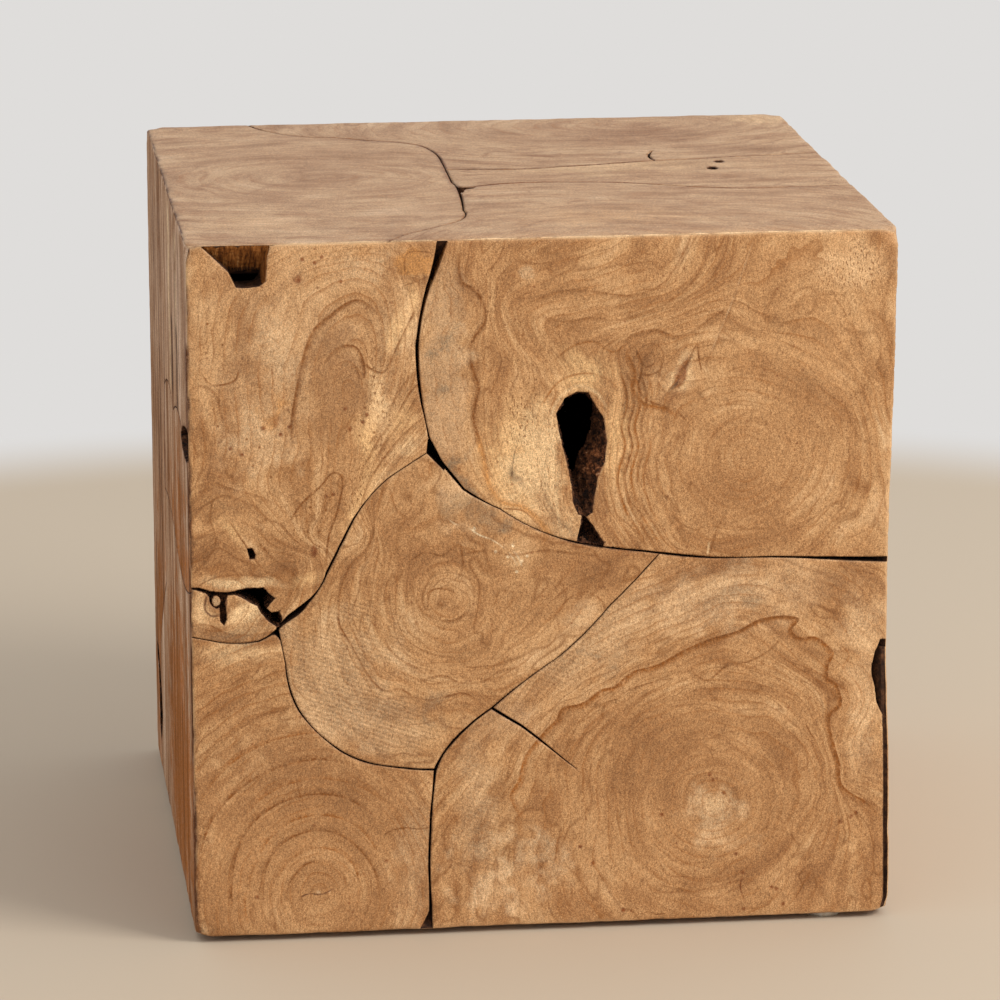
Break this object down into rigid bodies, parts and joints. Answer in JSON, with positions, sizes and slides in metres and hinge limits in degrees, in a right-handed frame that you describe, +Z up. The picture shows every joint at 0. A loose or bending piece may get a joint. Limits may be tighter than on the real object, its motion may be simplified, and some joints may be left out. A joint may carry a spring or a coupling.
{
  "type": "hollow cube side table of fitted teak root slices",
  "caption": "Hollow wooden cube for sitting on or for use as a side table, its faces made of fitted teak root slices with dark seams and natural holes, on low glides.",
  "frame": {"origin": "middle of the cube's footprint, on the floor under the glides", "axes": "+X to the right of the face with the big hole, +Y towards the back, +Z up"},
  "size_m": [0.4, 0.4, 0.4035],
  "materials": {
    "teak_front": "sanded end-grain teak root with a thin matt oil, golden brown",
    "teak_top": "sanded end-grain teak root, drier and greyer, matt",
    "teak_side": "sanded teak root, darker brown with grey streaks, matt",
    "teak_underside": "sawn teak root, unfinished",
    "batten_wood": "sawn batten, unfinished",
    "glide_plastic": "pale matt plastic"
  },
  "bodies": {
    "root": {"front_upper_left_slice": "teak_front", "front_upper_right_slice": "teak_front", "front_centre_slice": "teak_front", "front_left_wedge": "teak_front", "front_lower_left_slice": "teak_front", "front_lower_right_slice": "teak_front", "top_left_slice": "teak_top", "top_back_slice": "teak_top", "top_middle_slice": "teak_top", "top_front_slice": "teak_top", "left_back_slice": "teak_side", "left_upper_slice": "teak_side", "left_middle_slice": "teak_side", "left_lower_slice": "teak_side", "right_front_lower_slice": "teak_side", "right_front_upper_slice": "teak_side", "right_back_upper_slice": "teak_side", "right_back_lower_slice": "teak_side", "right_corner_slice": "teak_side", "back_upper_left_slice": "teak_side", "back_lower_left_slice": "teak_side", "back_upper_right_slice": "teak_side", "back_lower_middle_slice": "teak_side", "back_centre_slice": "teak_side", "bottom_back_left_slice": "teak_underside", "bottom_front_left_slice": "teak_underside", "bottom_back_right_slice": "teak_underside", "bottom_front_right_slice": "teak_underside", "front_left_batten": "batten_wood", "front_right_batten": "batten_wood", "back_left_batten": "batten_wood", "back_right_batten": "batten_wood", "left_low_batten": "batten_wood", "left_middle_batten": "batten_wood", "left_high_batten": "batten_wood", "right_front_batten": "batten_wood", "right_back_batten": "batten_wood", "top_front_batten": "batten_wood", "top_middle_batten": "batten_wood", "top_back_batten": "batten_wood", "bottom_front_batten": "batten_wood", "bottom_back_batten": "batten_wood", "glides": "glide_plastic"}
  },
  "joints": []
}
